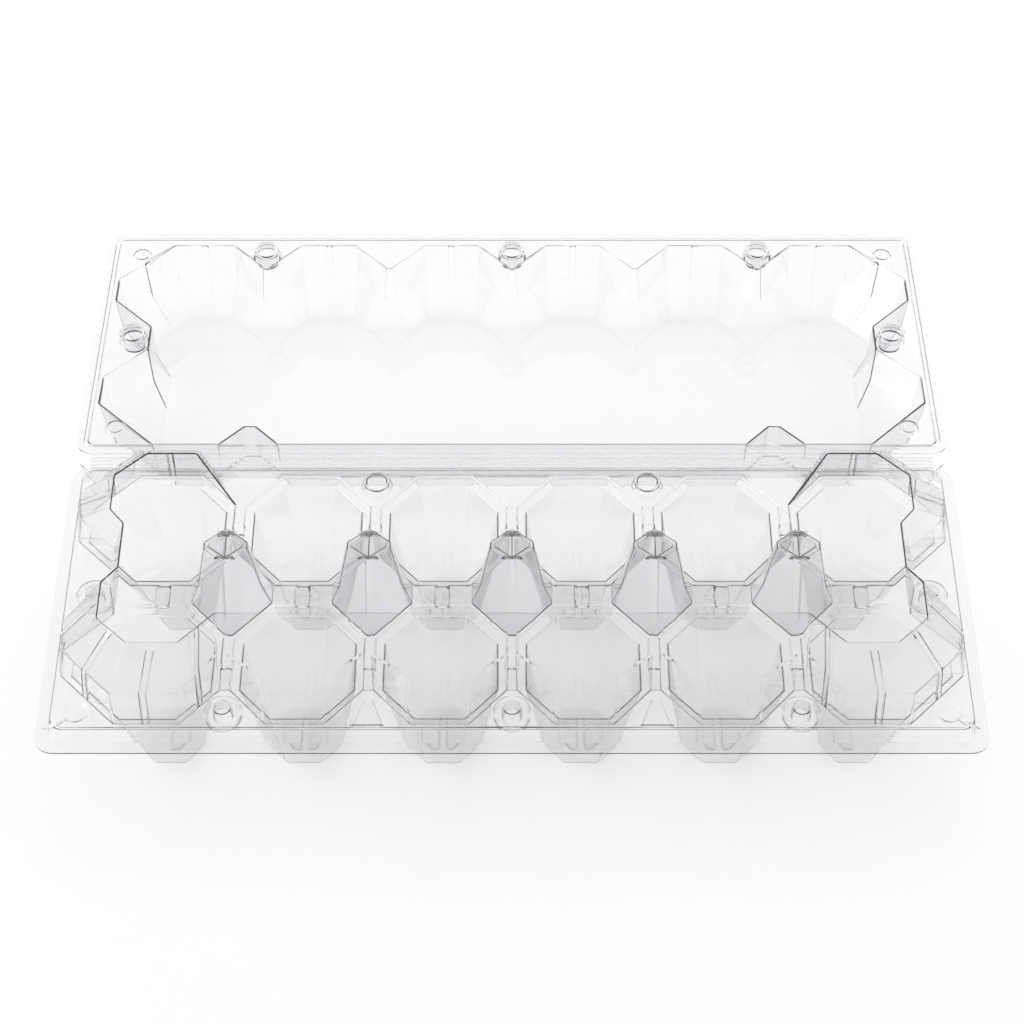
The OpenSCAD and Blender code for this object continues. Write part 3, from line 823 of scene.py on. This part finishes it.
def far_side():
    """The far wall, from right to left: each point, and how far it leans in down to the panel."""
    points = []
    y, tip = row_y + half_y, row_y + side_y
    for i, x in reversed(list(enumerate(centres))):
        first, last = i == 0, i == 5
        right = (x + end_side_x, -end_lean) if last else (x + side_x, -next_lean if first else -inner_lean)
        left = (x - end_side_x, end_lean) if first else (x - side_x, next_lean if last else inner_lean)
        points += [] if last else [((x + half_x, tip), (-tip_lean[0], -tip_lean[1]))]
        points += [((right[0], y), (right[1], -lid_lean)), ((left[0], y), (left[1], -lid_lean))]
        points += [] if first else [((x - half_x, tip), (tip_lean[0], -tip_lean[1]))]
    return points


end_edge = -end_x - end_reach
waist_edge = -end_x - waist_reach
lid_left = [
    ((end_edge, row_y + end_side_y), (corner_lean[0], -corner_lean[1])),
    ((end_edge, row_y - end_side_y), (flank_lean[0], -flank_lean[1])),
    ((waist_edge, waist_y), waist_lean),
    ((waist_edge, -waist_y + swing_ease), (waist_lean[0], -waist_lean[1])),
    ((end_edge, -row_y + end_side_y + swing_ease), flank_lean),
    ((end_edge, -row_y - end_side_y), corner_lean),
    ((end_edge + hinge_line - row_y - end_side_y, -hinge_line), hinge_lean),
]


def pillar(x):
    """A pillar in the wall by the hinge: two feet on the hinge line and a nose between them."""
    nose = pillar_depth - hinge_line
    return [
        ((x - pillar_w / 2, -hinge_line), (-foot_lean[0], foot_lean[1])),
        ((x - nose_w / 2, nose), (-nose_lean[0], nose_lean[1])),
        ((x + nose_w / 2, nose), nose_lean),
        ((x + pillar_w / 2, -hinge_line), foot_lean),
    ]


lid_right = [((-p[0], p[1]), (-lean[0], lean[1])) for p, lean in lid_left[::-1]]
far = far_side()
outline = far + lid_left + pillar(webs[0]) + pillar(webs[4]) + lid_right
lid_rib_d = 0.6 * MM
points_a_cell = 4
lid_ribs = [points_a_cell * i for i in range(6)] + [len(far) - 1, len(outline) - 1]


def grown(points, by):
    """A closed loop moved outward. The points run counter-clockwise."""
    moved = []
    for i, p in enumerate(points):
        edges = [(p - points[i - 1]).normalized(), (points[(i + 1) % len(points)] - p).normalized()]
        outs = [Vector((e.y, -e.x, 0)) for e in edges]
        moved.append(p + (outs[0] + outs[1]) * by / (1 + outs[0].dot(outs[1])))
    return moved


top_loop = grown([Vector((*p, 0)) for p, lean in outline], lid_clear + sheet / 2)
panel_loop = grown([Vector((p[0] + lean[0], p[1] + lean[1], 0)) for p, lean in outline], sheet / 2)


def lid_row(down, lean, ribs):
    """A closed row of the cavity's wall at a share of its depth and of its lean."""
    row = [a.lerp(b, lean) + Vector((0, 0, -lid_drop * down)) for a, b in zip(top_loop, panel_loop)]
    points = with_ribs(row, lid_ribs, lid_rib_d if ribs else 0)
    return points + points[:1]


print("corners in the lid's outline:", len(outline))

# %% [markdown]
# The rim has a hollow bead round it, which nests over the base's flange. Collars rise
# round the holes where the studs click in. The flat between them is filled in one go.

# %% Lid
# Each level is a share of the depth, a share of the lean, and whether the ribs stand out there
lid_levels = [(0, 0, False), (0.06, 0.02, True), (0.56, 0.16, True), (0.93, 0.86, True), (1, 1, False)]
cavity = strip("cavity", [lid_row(*level) for level in lid_levels])
open_edit(cavity)
merge_flats()
fill_between(cavity, -lid_drop - hair, -lid_drop + hair)
close_edit()
bead_rows = [
    (edge_ease, corner_r, 0),
    (2.3 * MM, 3.8 * MM, 0),
    (2.7 * MM, 3.4 * MM, 0.8 * MM),
    (4 * MM, 2.1 * MM, 0.8 * MM),
    (4.4 * MM, 1.8 * MM, 0),
]
bead = rounded_rim("bead", (0, 0, 0), bead_rows)
round_folds(bead, rim_fold)
snap_clear = 0.35 * MM
button_r = 3.7 * MM
collar_r = well_r - sheet - snap_clear
collar_lifts = [(0.1, 2.75), (1.25, 0), (0.15, -5.6)]
button_lifts = [(0.8, 1), (1.3, -0.3)]


def lid_disc(x, y, radius, lifts):
    """A disc in the rim of the lid, which is drawn about its own centre."""
    return disc(x, y, radius, lifts, (0, 0))


collars = [lid_disc(x, -y, collar_r, collar_lifts) for x, y in stud_places]
buttons = [lid_disc(x, y, button_r, button_lifts) for x, y in dimple_places]
lid = join("flip_lid", [bead, cavity, *collars, *buttons])
fill_between(lid, -hair, hair, within=length / 2 - 3 * MM)
close_edit()
bead_width = (5.2 * MM, 4.7 * MM)
lid_fold_w = 0.25 * MM
lid_x = length / 2 - bead_width[0]
lid_y = depth / 2 - bead_width[1]


def lid_folds(c):
    """The folds of the lid that are rounded: all within the bead but those of the collars."""
    return abs(c.x) < lid_x and abs(c.y) < lid_y and in_no_disc(c.x, -c.y, stud_places)


round_folds(lid, lid_fold_w, wanted=lid_folds)
thicken(lid)
lid_fold = next(j for j in frame["joints"] if j["name"] == "lid_fold")
fold_at = Vector(lid_fold["pos_m"])
droop = radians(lid_fold["range_deg"][1] - 90)
open_edit(lid)
bpy.ops.transform.translate(value=fold_at + Vector((0, depth / 2, 0)))
bpy.ops.transform.rotate(value=droop, orient_axis="X", center_override=fold_at)
close_edit()
lid_nodes = [n for n in frame["nodes"] if n.startswith("lid_")]
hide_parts(*lid_nodes, "snap_collars")
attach(lid, "lid")

# %% [markdown]
# The keeper stands on a plain pale table. A little glow lifts the table to white for
# what looks at it or through the sheet, and the table keeps the shadow that falls on it.

# %% Table
lift_to_white = 0.135
grain_size = 60 * MM


def table_white():
    paint = blank_material("matt_white_table")
    ray = add_node(paint, "ShaderNodeLightPath")
    seen = either(paint, ray.outputs["Is Camera Ray"], ray.outputs["Is Glossy Ray"])
    seen_through = either(paint, seen, ray.outputs["Is Transmission Ray"])
    place = add_node(paint, "ShaderNodeTexCoord").outputs["Object"]
    grain = add_node(paint, "ShaderNodeTexNoise", Vector=place, Scale=1 / grain_size, Detail=3.0)
    tone = add_node(
        paint,
        "ShaderNodeMix",
        {"data_type": "RGBA"},
        Factor=grain.outputs["Fac"],
        i6=linear("f0f0f0"),
        i7=linear("f3f3f3"),
    )
    matt = add_node(paint, "ShaderNodeBsdfDiffuse", Color=tone.outputs[2])
    lift = add_node(paint, "ShaderNodeMath", {"operation": "MULTIPLY"}, i0=seen_through, i1=lift_to_white)
    glow = add_node(paint, "ShaderNodeEmission", Strength=lift.outputs[0])
    both = add_node(paint, "ShaderNodeAddShader", i0=matt.outputs[0], i1=glow.outputs[0])
    add_node(paint, "ShaderNodeOutputMaterial", Surface=both.outputs[0])
    return paint


table_half = 6.0
bpy.ops.object.select_all(action="DESELECT")
bpy.ops.mesh.primitive_plane_add(size=2 * table_half)
table = bpy.context.object
table.name = "table"
table.data.materials.append(table_white())
print("table:", 2 * table_half, "m wide")


# %% [markdown]
# Clear sheet shows by what it bends, so the light is soft: a wide lamp overhead, which
# the sheet neither mirrors nor shows, and a weaker one from the side.

# %% Light
def soft_lamp(name, at, width, strength):
    """A square lamp aimed at the keeper."""
    data = bpy.data.lights.new(name, "AREA")
    data.shape = "SQUARE"
    data.size = width
    data.energy = strength
    lamp = bpy.data.objects.new(name, data)
    bpy.context.scene.collection.objects.link(lamp)
    lamp.location = at
    lamp.rotation_euler = (aim - Vector(at)).to_track_quat("-Z", "Y").to_euler()
    return lamp


overhead = soft_lamp("overhead", at=(0.15, 0.5, 1.5), width=1.0, strength=13)
overhead.visible_glossy = False
overhead.visible_transmission = False
left_side = soft_lamp("left_side", at=(-1.4, -0.2, 0.9), width=0.9, strength=5)
print("lamps:", overhead.name, "and", left_side.name)

# %% [markdown]
# An even grey world lights the keeper from all round. What looks straight at it, or at
# it through the sheet, sees a nearly white room in its place.

# %% World
world = bpy.data.worlds.new("studio")
bpy.context.scene.world = world
world.use_nodes = True
world.node_tree.nodes.clear()
sky_ray = add_node(world, "ShaderNodeLightPath")
mirrored_or_bent = either(world, sky_ray.outputs["Is Glossy Ray"], sky_ray.outputs["Is Transmission Ray"])
bright_for = either(world, mirrored_or_bent, sky_ray.outputs["Is Camera Ray"])
even_light = add_node(world, "ShaderNodeBackground", Color=linear("bcbcbc"))
seen_sky = add_node(world, "ShaderNodeBackground", Color=linear("f6f6f6"))
sky = add_node(world, "ShaderNodeMixShader", i0=bright_for, i1=even_light.outputs[0], i2=seen_sky.outputs[0])
add_node(world, "ShaderNodeOutputWorld", Surface=sky.outputs[0])
bpy.context.scene.view_settings.view_transform = "Standard"
print("world:", world.name)
